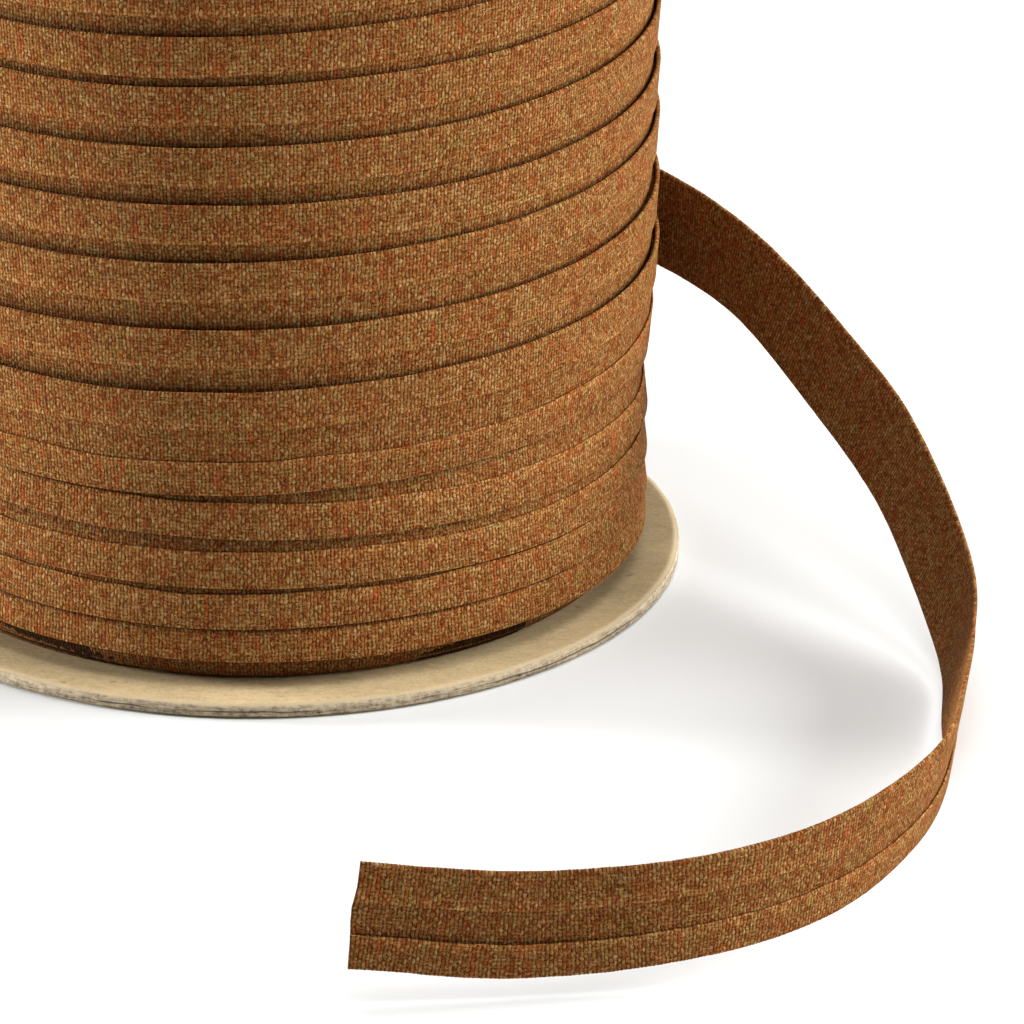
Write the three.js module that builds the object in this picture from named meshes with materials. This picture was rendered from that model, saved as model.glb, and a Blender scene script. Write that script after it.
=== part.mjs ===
// A roll of folded binding tape on a spool with chipboard ends. Its loose end peels off the back of the
// roll and curves round to the front on its edge.
// Millimetres, +Z up. The origin is on the spool's axis, in the plane that the bottom board rests on.
// Angles round the roll are counted from its front (-Y), counter-clockwise seen from above.

import * as THREE from "three";
import { mergeVertices } from "three/addons/utils/BufferGeometryUtils.js";

// Spool boards
const BOARD_RADIUS = 78;
const BOARD_THICKNESS = 2.8;
const BOARD_WORN_EDGE = 0.5;
const BOARD_SEGMENTS = 96;
const SPOOL_HEIGHT = 150;
const CLEARANCE = 0.3;

// Tape: cloth with both raw edges folded onto its outer side, leaving a recess between the two flaps
const TAPE_WIDTH = 20;
const CLOTH_THICKNESS = 0.6;
const TAPE_THICKNESS = 2 * CLOTH_THICKNESS;
const UPPER_FLAP = 7.2;
const LOWER_FLAP = 6.6;
const RAW_EDGE_SLOPE = 0.3;
const FOLD_ROUNDING = 0.3;

// Winding. The outer layer is wound downwards, so each turn's top edge lies over the turn above it.
// The layer under it is wound upwards, so each turn's lower edge lies over the turn below it.
const WINDING_RADIUS = 72.9;
const UNDER_LAYER_RADIUS = 70.5;
const TURN_PITCH = 10.9;
const TURN_STEP = 1.2;
const TURN_EDGE_AT_FRONT = 61.3;
const UNDER_PITCH = 9;
const UNDER_STEP = 0.8;
const UNDER_EDGE_AT_FRONT = 32.4;
const WINDING_BOTTOM = BOARD_THICKNESS + CLEARANCE;
const WINDING_TOP = SPOOL_HEIGHT - BOARD_THICKNESS - CLEARANCE;
const WINDING_SIDES = 64;
const WINDING_ROWS = 54;

// The last turn of the outer layer lies nearly level. Its lower edge is lowest a little left of the front.
const LAST_TURN_MIDDLE = 42.9;
const LAST_TURN_TILT = 2.2;
const LAST_TURN_LOWEST_AT = THREE.MathUtils.degToRad(-27);

// The winding draws in towards both boards.
const END_DRAW_IN = 3.9;
const END_DRAW_HEIGHT = 6.5;

// Loose end. It lies on the roll from one angle to the other, then leaves it in a straight line.
const SEAT_FROM = THREE.MathUtils.degToRad(156);
const SEAT_TO = THREE.MathUtils.degToRad(134);
const SEAT_POINTS = 5;
const SEAT_HEIGHT = 54.5;
const TAPE_STEPS = 66;

// Middle line of the free stretch. lean is in degrees, positive where the top edge leans to the roll.
const FREE_ROUTE = [
  { x: 71, y: 32.5, z: 55.5, lean: 5 },
  { x: 89, y: 12, z: 51, lean: 4 },
  { x: 105.5, y: -10, z: 39, lean: -2 },
  { x: 116.5, y: -28.5, z: 29, lean: -8 },
  { x: 126, y: -59, z: 13, lean: -14 },
  { x: 125, y: -87, z: 12, lean: -14 },
  { x: 123, y: -113.5, z: 15, lean: -8 },
  { x: 116.5, y: -142, z: 16, lean: -12 },
  { x: 100, y: -166.5, z: 15, lean: -9 },
  { x: 78, y: -182, z: 15, lean: -9 },
  { x: 48, y: -187, z: 14, lean: -6 },
  { x: 20.5, y: -189.5, z: 17, lean: -4 },
];

// Finishes
const BOARD_COLOUR = 0xb7a58c;
const BOARD_ROUGHNESS = 0.9;
const CLOTH_COLOUR = 0xa5692f;
const CLOTH_ROUGHNESS = 0.95;

function finish(color, roughness) {
  return new THREE.MeshStandardMaterial({ color, roughness, metalness: 0 });
}

function onRoll(angle, radius, height) {
  return new THREE.Vector3(radius * Math.sin(angle), -radius * Math.cos(angle), height);
}

function fraction(value) {
  return value - Math.floor(value);
}

// A round board with its two rims worn off, turned about the spool's axis.
function boardGeometry() {
  const inner = BOARD_RADIUS - BOARD_WORN_EDGE;
  const profile = [
    new THREE.Vector2(0, 0),
    new THREE.Vector2(inner, 0),
    new THREE.Vector2(BOARD_RADIUS, BOARD_WORN_EDGE),
    new THREE.Vector2(BOARD_RADIUS, BOARD_THICKNESS - BOARD_WORN_EDGE),
    new THREE.Vector2(inner, BOARD_THICKNESS),
    new THREE.Vector2(0, BOARD_THICKNESS),
  ];
  return new THREE.LatheGeometry(profile, BOARD_SEGMENTS).rotateX(Math.PI / 2);
}

// Height of the last turn's lower edge at an angle round the roll.
function lastTurnLowerEdge(angle) {
  return LAST_TURN_MIDDLE - LAST_TURN_TILT * Math.cos(angle - LAST_TURN_LOWEST_AT);
}

// Radius of the winding. Each turn is a shallow cone, so the radius is a saw-tooth along the height, and
// the teeth climb round the roll as a helix. The two layers climb in opposite directions.
function windingRadius(angle, height) {
  const turn = angle / (2 * Math.PI);
  const lowerEdge = lastTurnLowerEdge(angle);
  let radius;
  if (height < lowerEdge) {
    const above = fraction((height - UNDER_EDGE_AT_FRONT) / UNDER_PITCH + turn);
    radius = UNDER_LAYER_RADIUS + UNDER_STEP * (0.5 - above);
  } else if (height < lowerEdge + TAPE_WIDTH) {
    radius = WINDING_RADIUS + TURN_STEP / 2;
  } else {
    const above = fraction((height - TURN_EDGE_AT_FRONT) / TURN_PITCH - turn);
    radius = WINDING_RADIUS + TURN_STEP * (above - 0.5);
  }
  const fromEnd = Math.min(height - WINDING_BOTTOM, WINDING_TOP - height);
  const drawn = THREE.MathUtils.clamp(1 - fromEnd / END_DRAW_HEIGHT, 0, 1);
  return radius - END_DRAW_IN * (1 - Math.sqrt(1 - drawn * drawn));
}

// The wound tape as one solid: a cylinder whose wall is moved out or in to the winding's radius.
function windingGeometry() {
  const height = WINDING_TOP - WINDING_BOTTOM;
  const unitRadius = 1;
  const cylinder = new THREE.CylinderGeometry(unitRadius, unitRadius, height, WINDING_SIDES, WINDING_ROWS)
    .rotateX(Math.PI / 2)
    .translate(0, 0, WINDING_BOTTOM + height / 2);
  cylinder.deleteAttribute("normal");
  cylinder.deleteAttribute("uv");
  const geometry = mergeVertices(cylinder);
  const position = geometry.getAttribute("position");
  for (let i = 0; i < position.count; i++) {
    const x = position.getX(i);
    const y = position.getY(i);
    const z = position.getZ(i);
    const onAxis = Math.hypot(x, y) < unitRadius / 2;
    if (onAxis) continue;
    const angle = Math.atan2(x, -y);
    const moved = onRoll(angle, windingRadius(angle, z), z);
    position.setXYZ(i, moved.x, moved.y, moved.z);
  }
  geometry.computeVertexNormals();
  return geometry;
}

// The tape's cross-section: x outwards through its thickness, y up across its width.
function tapeSection() {
  const half = TAPE_WIDTH / 2;
  const face = TAPE_THICKNESS / 2;
  const upperRawEdge = half - UPPER_FLAP;
  const lowerRawEdge = LOWER_FLAP - half;
  const section = new THREE.Shape();
  section.moveTo(-face, half - FOLD_ROUNDING);
  section.lineTo(-face, FOLD_ROUNDING - half);
  section.lineTo(FOLD_ROUNDING - face, -half);
  section.lineTo(face - FOLD_ROUNDING, -half);
  section.lineTo(face, FOLD_ROUNDING - half);
  section.lineTo(face, lowerRawEdge);
  section.lineTo(0, lowerRawEdge + RAW_EDGE_SLOPE);
  section.lineTo(0, upperRawEdge - RAW_EDGE_SLOPE);
  section.lineTo(face, upperRawEdge);
  section.lineTo(face, half - FOLD_ROUNDING);
  section.lineTo(face - FOLD_ROUNDING, half);
  section.lineTo(FOLD_ROUNDING - face, half);
  section.closePath();
  return section;
}

// Rows of the whole loose end: the seat on the roll, then the free stretch.
function tapeRoute() {
  const radius = WINDING_RADIUS + TURN_STEP / 2 + CLEARANCE + TAPE_THICKNESS / 2;
  const rows = [];
  for (let i = 0; i < SEAT_POINTS; i++) {
    const angle = THREE.MathUtils.lerp(SEAT_FROM, SEAT_TO, i / (SEAT_POINTS - 1));
    rows.push({ point: onRoll(angle, radius, SEAT_HEIGHT), lean: 0 });
  }
  for (const { x, y, z, lean } of FREE_ROUTE) {
    rows.push({ point: new THREE.Vector3(x, y, z), lean });
  }
  return rows;
}

// The tape's cross-section carried along its route, standing on edge and leaning as the route says.
function looseEndGeometry() {
  const rows = tapeRoute();
  const middle = new THREE.CatmullRomCurve3(rows.map((row) => row.point));
  const leaning = new THREE.SplineCurve(rows.map((row, i) => new THREE.Vector2(i, row.lean)));
  const straight = { depth: 1, steps: TAPE_STEPS, bevelEnabled: false };
  const geometry = new THREE.ExtrudeGeometry(tapeSection(), straight);
  const position = geometry.getAttribute("position");
  const up = new THREE.Vector3(0, 0, 1);
  for (let i = 0; i < position.count; i++) {
    const along = THREE.MathUtils.clamp(position.getZ(i), 0, 1);
    const forward = middle.getTangent(along);
    const inward = new THREE.Vector3().crossVectors(forward, up).normalize();
    const across = new THREE.Vector3().crossVectors(inward, forward);
    across.applyAxisAngle(forward, THREE.MathUtils.degToRad(leaning.getPoint(along).y));
    const outward = new THREE.Vector3().crossVectors(across, forward);
    const moved = middle
      .getPoint(along)
      .addScaledVector(outward, position.getX(i))
      .addScaledVector(across, position.getY(i));
    position.setXYZ(i, moved.x, moved.y, moved.z);
  }
  geometry.computeVertexNormals();
  return geometry;
}

function named(name, geometry, material) {
  const mesh = new THREE.Mesh(geometry, material);
  mesh.name = name;
  return mesh;
}

const bottomBoard = named("flange_bottom", boardGeometry(), finish(BOARD_COLOUR, BOARD_ROUGHNESS));
const topBoard = named("flange_top", boardGeometry(), finish(BOARD_COLOUR, BOARD_ROUGHNESS));
topBoard.position.z = SPOOL_HEIGHT - BOARD_THICKNESS;
const winding = named("winding", windingGeometry(), finish(CLOTH_COLOUR, CLOTH_ROUGHNESS));
const looseEnd = named("loose_end", looseEndGeometry(), finish(CLOTH_COLOUR, CLOTH_ROUGHNESS));

const group = new THREE.Group();
group.add(bottomBoard, winding, topBoard, looseEnd);

export default group;
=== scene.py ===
import math

import bpy
import numpy as np
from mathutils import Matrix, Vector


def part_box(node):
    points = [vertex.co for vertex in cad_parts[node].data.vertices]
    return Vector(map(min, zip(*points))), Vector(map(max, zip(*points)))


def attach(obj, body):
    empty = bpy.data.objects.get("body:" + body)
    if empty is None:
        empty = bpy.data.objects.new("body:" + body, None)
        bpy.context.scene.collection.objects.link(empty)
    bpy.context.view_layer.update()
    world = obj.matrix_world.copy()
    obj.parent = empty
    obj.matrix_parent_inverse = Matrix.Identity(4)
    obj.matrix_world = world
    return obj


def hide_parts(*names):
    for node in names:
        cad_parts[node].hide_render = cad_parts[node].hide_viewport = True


bl_info = {
    "name": "Roll of binding tape",
    "version": (1, 0, 0),
    "blender": (4, 5, 0),
    "location": "3D View > Sidebar > Tape roll",
    "description": "Winds a roll of folded tape on a chipboard spool and lays out its loose end",
    "category": "Add Mesh",
}

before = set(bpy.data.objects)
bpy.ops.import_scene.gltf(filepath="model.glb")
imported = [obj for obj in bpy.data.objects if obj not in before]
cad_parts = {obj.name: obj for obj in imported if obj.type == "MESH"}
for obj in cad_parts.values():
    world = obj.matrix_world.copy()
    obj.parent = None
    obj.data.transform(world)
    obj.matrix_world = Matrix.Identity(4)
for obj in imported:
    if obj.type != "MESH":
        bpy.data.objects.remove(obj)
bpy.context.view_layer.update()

MM = 0.001
BODY = "root"
BOARD_LOW, BOARD_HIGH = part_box("flange_bottom")
TOP_BOARD_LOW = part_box("flange_top")[0]
THREAD_MAP = "threads"
MARKS = "marks"
NO_EDGE = 1.0

# Angles round the roll are in degrees from its front (-Y), counter-clockwise seen from above.
# They run on past a full turn, so that one angle stands for one place along a tape. Heights are in mm.

# Top edge of the outer tape, a row for each turn from the last one up, 30 degrees left of the front
# and 50 degrees right of it.
OUTER_TURNS = [
    {"turn": 0, "left": 60.1, "right": 62.9},
    {"turn": 1, "left": 71.8, "right": 74.4},
    {"turn": 2, "left": 84.1, "right": 87.3},
    {"turn": 3, "left": 95.1, "right": 97.3},
    {"turn": 4, "left": 105.4, "right": 108.5},
    {"turn": 5, "left": 116.7, "right": 119.5},
    {"turn": 6, "left": 125.7, "right": 129.0},
    {"turn": 7, "left": 136.5, "right": 139.5},
]
OUTER_LEFT = -30
OUTER_RIGHT = 50

# The last turn comes back to its own beginning and ends where the loose end takes over.
LAST_TURN_END = [
    {"angle": -204, "height": 64.5},
    {"angle": -150, "height": 64.1},
    {"angle": -90, "height": 61.9},
]

# The first turn lies level against the top board.
FIRST_TURN_START = [
    {"angle": 2870, "height": 146.0},
    {"angle": 2960, "height": 146.8},
    {"angle": 3120, "height": 146.9},
    {"angle": 3260, "height": 146.9},
]

# Lower edge of the under tape, a row for each turn from the hidden top one down.
UNDER_TURNS = [
    {"turn": -2, "left": 55.0, "right": 54.0},
    {"turn": -1, "left": 44.0, "right": 43.2},
    {"turn": 0, "left": 32.9, "right": 31.1},
    {"turn": 1, "left": 23.2, "right": 22.0},
    {"turn": 2, "left": 15.0, "right": 14.6},
    {"turn": 3, "left": 8.8, "right": 7.7},
    {"turn": 4, "left": 3.5, "right": 3.1},
    {"turn": 5, "left": 3.1, "right": 3.1},
]
UNDER_LEFT = -40
UNDER_RIGHT = 45

# Middle line of the loose end in mm. lean is in degrees, positive where the top edge leans to the roll.
SEAT_ANGLES = [156, 150.5, 145, 139.5, 134]
SEAT_RADIUS = 74.4
SEAT_HEIGHT = 54.5
FREE_ROUTE = [
    {"x": 71, "y": 32.5, "z": 55.5, "lean": 5},
    {"x": 89, "y": 12, "z": 51, "lean": 4},
    {"x": 105.5, "y": -10, "z": 39, "lean": -2},
    {"x": 116.5, "y": -28.5, "z": 29, "lean": -8},
    {"x": 126, "y": -59, "z": 13, "lean": -14},
    {"x": 125, "y": -87, "z": 12, "lean": -14},
    {"x": 123, "y": -113.5, "z": 15, "lean": -8},
    {"x": 116.5, "y": -142, "z": 16, "lean": -12},
    {"x": 100, "y": -166.5, "z": 15, "lean": -9},
    {"x": 78, "y": -182, "z": 15, "lean": -9},
    {"x": 48, "y": -187, "z": 14, "lean": -6},
    {"x": 20.5, "y": -189.5, "z": 17, "lean": -4},
]

# How far the cut end stands out along the tape at heights across its width, in mm.
CUT_END = [
    {"across": -10.0, "out": 0.0},
    {"across": -4.1, "out": 0.1},
    {"across": -3.5, "out": 0.35},
    {"across": 1.6, "out": 0.45},
    {"across": 2.9, "out": 0.4},
    {"across": 3.5, "out": 0.0},
    {"across": 10.0, "out": 0.0},
]

# Shelves of the board's cut edge: inwards from the board's radius, and height above its underside, in mm.
BOARD_RIM = [
    {"in": 4.0, "up": 0.0},
    {"in": 1.6, "up": 0.0},
    {"in": 0.7, "up": 0.05},
    {"in": 0.25, "up": 0.25},
    {"in": 0.1, "up": 0.6},
    {"in": 0.16, "up": 1.0},
    {"in": 0.05, "up": 1.4},
    {"in": 0.12, "up": 1.8},
    {"in": 0.1, "up": 2.15},
    {"in": 0.3, "up": 2.45},
    {"in": 0.7, "up": 2.68},
    {"in": 1.4, "up": 2.78},
    {"in": 2.4, "up": 2.8},
    {"in": 4.0, "up": 2.8},
]

# The cloth's cross-section: how many points make a fold and the back, where the points of a flap lie
# from its raw edge to its fold as shares of its width, where the raw edge's corner ends in mm, and how
# much of its thickness a raw edge keeps.
FOLD_POINTS = 5
BACK_POINTS = 6
FLAP_POINTS = [0.35, 0.72]
RAW_EDGE_CORNER = 0.12
RAW_EDGE_THICKNESS = 0.55

# Rows along each tape.
LOOSE_ROWS = 1950
OUTER_ROWS = 1850
UNDER_ROWS = 1400

# Unevenness of the tapes: its size and the distance between its waves, in mm. A flap stands off the
# cloth under it by FLAP_LIFT, more or less.
WOUND_HEIGHT = [{"size": 0.22, "spacing": 38}, {"size": 0.08, "spacing": 9}]
WOUND_RAW_EDGE = [{"size": 0.28, "spacing": 14}, {"size": 0.1, "spacing": 2.5}]
WOUND_LIFT = [{"size": 0.06, "spacing": 30}]
WOUND_SWELL = [{"size": 0.05, "spacing": 26}]
LOOSE_RAW_EDGE = [{"size": 0.22, "spacing": 13}, {"size": 0.1, "spacing": 1.6}]
LOOSE_LIFT = [{"size": 0.06, "spacing": 20}]
LOOSE_FOLD = [{"size": 0.16, "spacing": 11}, {"size": 0.05, "spacing": 2.1}]
FRAYED_END = [{"size": 0.06, "spacing": 0.8}]
FLAP_LIFT = 0.06

# The lower flap stands open near the cut end: how far, where it closes in mm from the end, and how uneven.
SLIT = {"open": 0.62, "closing": 22, "closed": 55, "uneven": 0.25, "spacing": 5}

# Weft threads stand out of the loose end's folds as small knobs, every other one a little less, in mm.
KNOB = 0.13
KNOB_CHANGE = 0.2

# Where the last turn lies on its own beginning it stands out, in mm, and upright. The angles at which it
# begins and ends to do so are counted back from the front.
LAST_TURN_OUT = 1.3
LAST_TURN_RISING = (90, 200)
LAST_TURN_UPRIGHT = (60, 200)

# The first turn and the lowest turns lie deeper, in mm, and reach their depth between two angles. The lowest
# ones also get painted shade: their colour is darker by a share.
FIRST_TURN_IN = 1.0
FIRST_TURN_FROM = (2830, 3000)
LOWEST_TURNS_IN = 1.5
LOWEST_TURNS_FROM = (1180, 1390)
LOWEST_TURNS_PAINTED_SHADE = 0.5

# On the right of the front the painted shade beside covering edges is narrower, between these angles.
SHALLOW_RISING = (0, 35)
SHALLOW_FALLING = (85, 130)
OUTER_SHALLOW = 2.5
UNDER_SHALLOW = 0.6

# Shares of painted light: a painted highlight makes folds and raw edges paler, and painted shade makes the
# loose end darker. Its last part, a length in mm, is painted darker still towards the cut end, as it looks
# in the photo.
CREST_PAINTED_HIGHLIGHT = 0.32
LOOSE_END_PAINTED_SHADE = 0.05
CUT_END_PAINTED_SHADE = 0.19
CUT_END_LENGTH = 150

# The inner drum stays clear of the tapes on it, in mm. Its radius changes between the two layers' heights.
DRUM_CLEARANCE = 0.3
DRUM_CHANGE = (50, 56)
DRUM_ROWS = 90
DRUM_SEGMENTS = 180

# Threads wander from an even grid by shares of their pitch.
WANDER = {"scale": 480.0, "along": 1.1, "across": 1.4}

# A thread's height in a cell of the weave: in its middle, more where it crosses on top, less by a random
# share of the cell, and less beside its middle line.
WARP = {"height": 0.34, "rise": 0.3, "uneven": 0.3, "round": 1.8}
WEFT = {"height": 0.68, "rise": 0.24, "uneven": 0.3, "round": 2.8}

# Fibres to a pitch on a warp thread. FIBRES_TURN is what a weft thread has more along and less across.
FIBRES_ALONG = 1.4
FIBRES_ACROSS = 3.4
FIBRES_TURN = 1.8
FUZZ = 1.5

# Tone of the yarns, from 0 for the darkest: the share of each cause, and where each yarn lies.
TONE = {"yarn": 1.3, "cell": 0.3, "fuzz": 0.9}
YARNS = [
    {"yarn": "umber", "tone": 0.0},
    {"yarn": "rust", "tone": 0.3},
    {"yarn": "ochre", "tone": 0.54},
    {"yarn": "gold", "tone": 0.9},
]
GREEN_CAST = (0.9, 1.03, 0.92)
RED_CAST = (1.08, 0.9, 0.86)
SLUB_COLOUR = (0.46, 0.075, 0.022)

# Painted shade: the cloth's colour is darkened beside an edge that lies over it, by the distance in mm: 1 is
# its full colour.
OPEN_CLOTH_PAINTED_SHADE = {"near": 0.15, "far": 1.7, "least": 0.2, "most": 1.0}
RECESS_CLOTH_PAINTED_SHADE = {"near": -0.5, "far": 4.0, "least": 0.49, "most": 0.97}

# Painted light: the board's face is coloured paler towards the front left, as seen from above, and darker
# towards the back right.
LIT_SIDE = (-0.5, -0.87)
SPECK_COLOUR = (0.16, 0.1, 0.05)
TORN_DARK = (0.06, 0.042, 0.025)
TORN_PALE = (0.6, 0.49, 0.33)
WORN_COLOUR = (0.66, 0.54, 0.35)
SPLIT_COLOUR = (0.04, 0.028, 0.016)
# A painted contact shadow along the foot of the board's cut edge.
FOOT_PAINTED_SHADOW = (0.03, 0.02, 0.012)

# The boards' rings inside the rim, in mm from the axis, and the roughness of the rim, in mm.
BOARD_RINGS = [60, 40, 20]
BOARD_SEGMENTS = 720
RIM_ROUGH = {"size": 0.07, "spacing": 3.5}
RIM_WIDE = {"size": 0.1, "spacing": 24}
RIM_INSET = 0.17
RIM_LIFT = 0.05

# Whole angles from behind the roll, round its front, to behind it again.
ALL_ROUND = np.arange(-180, 181)

CAMERA_PLACE = (0.0462, -1.1830, 0.5160)
CAMERA_DOWN = 23.29
CAMERA_LENS = 240.2
CAMERA_SENSOR = 36.0
FLOOR_REACH = 12.0
FLOOR_DROP = 0.15

# The soft lights: angle goes round the roll from its front, height is the angle above the floor and
# spread the angle that the light takes up, all in degrees. strength names the setting.
SOFT_LIGHTS = [
    {"name": "top light", "angle": 66, "height": 84, "spread": 46, "strength": "top_light"},
    {"name": "right light", "angle": 88, "height": 20, "spread": 44, "strength": "right_light"},
    {"name": "left light", "angle": -101, "height": 7, "spread": 13, "strength": "left_light"},
]


class TapeSettings(bpy.types.PropertyGroup):
    """The folded tape and its cloth."""

    width: bpy.props.FloatProperty(
        name="Width", description="Folded width of the tape", default=20 * MM, unit="LENGTH"
    )
    cloth: bpy.props.FloatProperty(
        name="Cloth", description="Thickness of one layer of cloth", default=0.38 * MM, unit="LENGTH"
    )
    fold_gap: bpy.props.FloatProperty(
        name="Fold gap", description="Air between a flap and the cloth under it",
        default=0.05 * MM, unit="LENGTH"
    )
    upper_flap: bpy.props.FloatProperty(
        name="Upper flap", description="Width folded in at the top", default=7.2 * MM, unit="LENGTH"
    )
    lower_flap: bpy.props.FloatProperty(
        name="Lower flap", description="Width folded in at the bottom", default=6.6 * MM, unit="LENGTH"
    )
    weft_pitch: bpy.props.FloatProperty(
        name="Weft pitch", description="Distance between threads along the tape",
        default=0.68 * MM, unit="LENGTH"
    )
    warp_pitch: bpy.props.FloatProperty(
        name="Warp pitch", description="Distance between threads across the tape",
        default=0.72 * MM, unit="LENGTH"
    )
    gold: bpy.props.FloatVectorProperty(
        name="Gold", description="Palest yarn", default=(0.5, 0.295, 0.113), size=3, subtype="COLOR"
    )
    ochre: bpy.props.FloatVectorProperty(
        name="Ochre", description="Main yarn", default=(0.35, 0.16, 0.044), size=3, subtype="COLOR"
    )
    rust: bpy.props.FloatVectorProperty(
        name="Rust", description="Red yarn", default=(0.28, 0.074, 0.019), size=3, subtype="COLOR"
    )
    umber: bpy.props.FloatVectorProperty(
        name="Umber", description="Darkest yarn", default=(0.125, 0.04, 0.01), size=3, subtype="COLOR"
    )
    # Gap is painted shade: the colour of the low hollows between the threads.
    gap: bpy.props.FloatVectorProperty(
        name="Gap", description="Between the threads",
        default=(0.055, 0.014, 0.002), size=3, subtype="COLOR"
    )


class WindingSettings(bpy.types.PropertyGroup):
    """How the tape lies on the roll."""

    outer_radius: bpy.props.FloatProperty(
        name="Outer radius", description="Roll's radius at the top edge of an outer turn",
        default=73.5 * MM, unit="LENGTH"
    )
    under_radius: bpy.props.FloatProperty(
        name="Under radius", description="Roll's radius at the lower edge of an under turn",
        default=71.6 * MM, unit="LENGTH"
    )
    turn_slope: bpy.props.FloatProperty(
        name="Turn slope", description="Inward slope of a turn across its width, as a share of it",
        default=0.084
    )
    under_slope: bpy.props.FloatProperty(
        name="Under slope", description="Inward slope of an under turn up its width, as a share of it",
        default=0.108
    )
    end_draw: bpy.props.FloatProperty(
        name="End draw", description="How far the winding draws in at a board",
        default=5.6 * MM, unit="LENGTH"
    )
    end_height: bpy.props.FloatProperty(
        name="End height", description="Height over which the winding draws in",
        default=6.5 * MM, unit="LENGTH"
    )


class BoardSettings(bpy.types.PropertyGroup):
    """The spool's two boards."""

    radius: bpy.props.FloatProperty(
        name="Radius", description="Radius of a board", default=BOARD_HIGH.x, unit="LENGTH"
    )
    face: bpy.props.FloatVectorProperty(
        name="Face", description="Colour of the board's face",
        default=(0.44, 0.33, 0.178), size=3, subtype="COLOR"
    )
    edge: bpy.props.FloatVectorProperty(
        name="Edge", description="Colour of the cut edge",
        default=(0.31, 0.245, 0.165), size=3, subtype="COLOR"
    )


class StageSettings(bpy.types.PropertyGroup):
    """Floor and light."""

    floor: bpy.props.FloatVectorProperty(
        name="Floor", description="Colour of the floor",
        default=(0.85, 0.87, 0.868), size=3, subtype="COLOR"
    )
    top_light: bpy.props.FloatProperty(
        name="Top light", description="Strength of the soft light overhead", default=2.05
    )
    right_light: bpy.props.FloatProperty(
        name="Right light", description="Strength of the soft light on the right", default=5.1
    )
    left_light: bpy.props.FloatProperty(
        name="Left light", description="Strength of the soft light on the left", default=6.2
    )
    sky: bpy.props.FloatProperty(
        name="Sky", description="Strength of the even light from all round", default=0.03
    )


def smooth_curve(at, xs, ys):
    """Cubic Hermite curve through the points (xs, ys). The slope at a point is that of the line joining
    its two neighbours."""
    xs = np.asarray(xs, float)
    ys = np.asarray(ys, float)
    slope = np.gradient(ys, xs)
    slope[1:-1] = (ys[2:] - ys[:-2]) / (xs[2:] - xs[:-2])
    i = np.clip(np.searchsorted(xs, at, side="right") - 1, 0, len(xs) - 2)
    step = xs[i + 1] - xs[i]
    t = np.clip((at - xs[i]) / step, 0, 1)
    rise = 3 * t**2 - 2 * t**3
    start = t * (1 - t) ** 2
    end = t**2 * (t - 1)
    return ys[i] + (ys[i + 1] - ys[i]) * rise + step * (slope[i] * start + slope[i + 1] * end)


def unevenness(at, spacing, seed):
    """Smooth noise from -1 to 1 along a line: seeded random heights a spacing apart, joined by cubics."""
    first = np.floor(at.min() / spacing) - 1
    count = int(np.ceil(at.max() / spacing) - first) + 3
    heights = np.random.default_rng(seed).uniform(-1, 1, count)
    return smooth_curve(at, (first + np.arange(count)) * spacing, heights)


def waves(at, rows, seed):
    """Sum of the rows' smooth noises along a line, each its size times noise of its spacing."""
    parts = [row["size"] * MM * unevenness(at, row["spacing"] * MM, seed + k) for k, row in enumerate(rows)]
    return sum(parts)


def smooth_step(value, low, high):
    """0 below low, 1 above high, and an S-curve between."""
    t = np.clip((value - low) / (high - low), 0, 1)
    return t * t * (3 - 2 * t)


def put_mesh(name, points, faces, thread_uv=None, marks=None):
    """A mesh object from an array of points and a list of face arrays, each with 3 or 4 columns.
    thread_uv gives one pair for each face corner, in the order of the faces, and marks gives three
    numbers for each point. The volume's sign says whether the faces point inwards, and then each is
    reversed."""
    points = np.asarray(points, float)
    volume = 0.0
    for block in faces:
        first = points[block[:, 0]]
        for k in range(1, block.shape[1] - 1):
            volume += np.einsum("ij,ij->", first, np.cross(points[block[:, k]], points[block[:, k + 1]]))
    inside_out = volume < 0
    if inside_out:
        faces = [block[:, ::-1] for block in faces]
    corners = np.concatenate([block.ravel() for block in faces])
    sizes = np.concatenate([np.full(len(block), block.shape[1]) for block in faces])
    starts = np.concatenate([[0], np.cumsum(sizes)[:-1]])
    mesh = bpy.data.meshes.new(name)
    mesh.vertices.add(len(points))
    mesh.vertices.foreach_set("co", points.astype(np.float32).ravel())
    mesh.loops.add(len(corners))
    mesh.loops.foreach_set("vertex_index", corners.astype(np.int32))
    mesh.polygons.add(len(sizes))
    mesh.polygons.foreach_set("loop_start", starts.astype(np.int32))
    if thread_uv is not None:
        if inside_out:
            ends = np.repeat(starts + sizes - 1, sizes)
            offsets = np.arange(len(corners)) - np.repeat(starts, sizes)
            thread_uv = thread_uv[ends - offsets]
        layer = mesh.uv_layers.new(name=THREAD_MAP)
        layer.data.foreach_set("uv", thread_uv.astype(np.float32).ravel())
    if marks is not None:
        layer = mesh.attributes.new(MARKS, "FLOAT_VECTOR", "POINT")
        layer.data.foreach_set("vector", marks.astype(np.float32).ravel())
    mesh.polygons.foreach_set("use_smooth", np.ones(len(sizes), bool))
    mesh.update(calc_edges=True)
    if mesh.validate():
        raise RuntimeError(f"{name} has faces that Blender refuses")
    made = bpy.data.objects.new(name, mesh)
    bpy.context.scene.collection.objects.link(made)
    return made


def finish_piece(piece, material, slot, *nodes):
    """Gives a piece its material and its body, and hides the nodes that it stands for. The slot is not used.
    """
    piece.data.materials.append(material)
    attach(piece, BODY)
    if nodes:
        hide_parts(*nodes)


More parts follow.
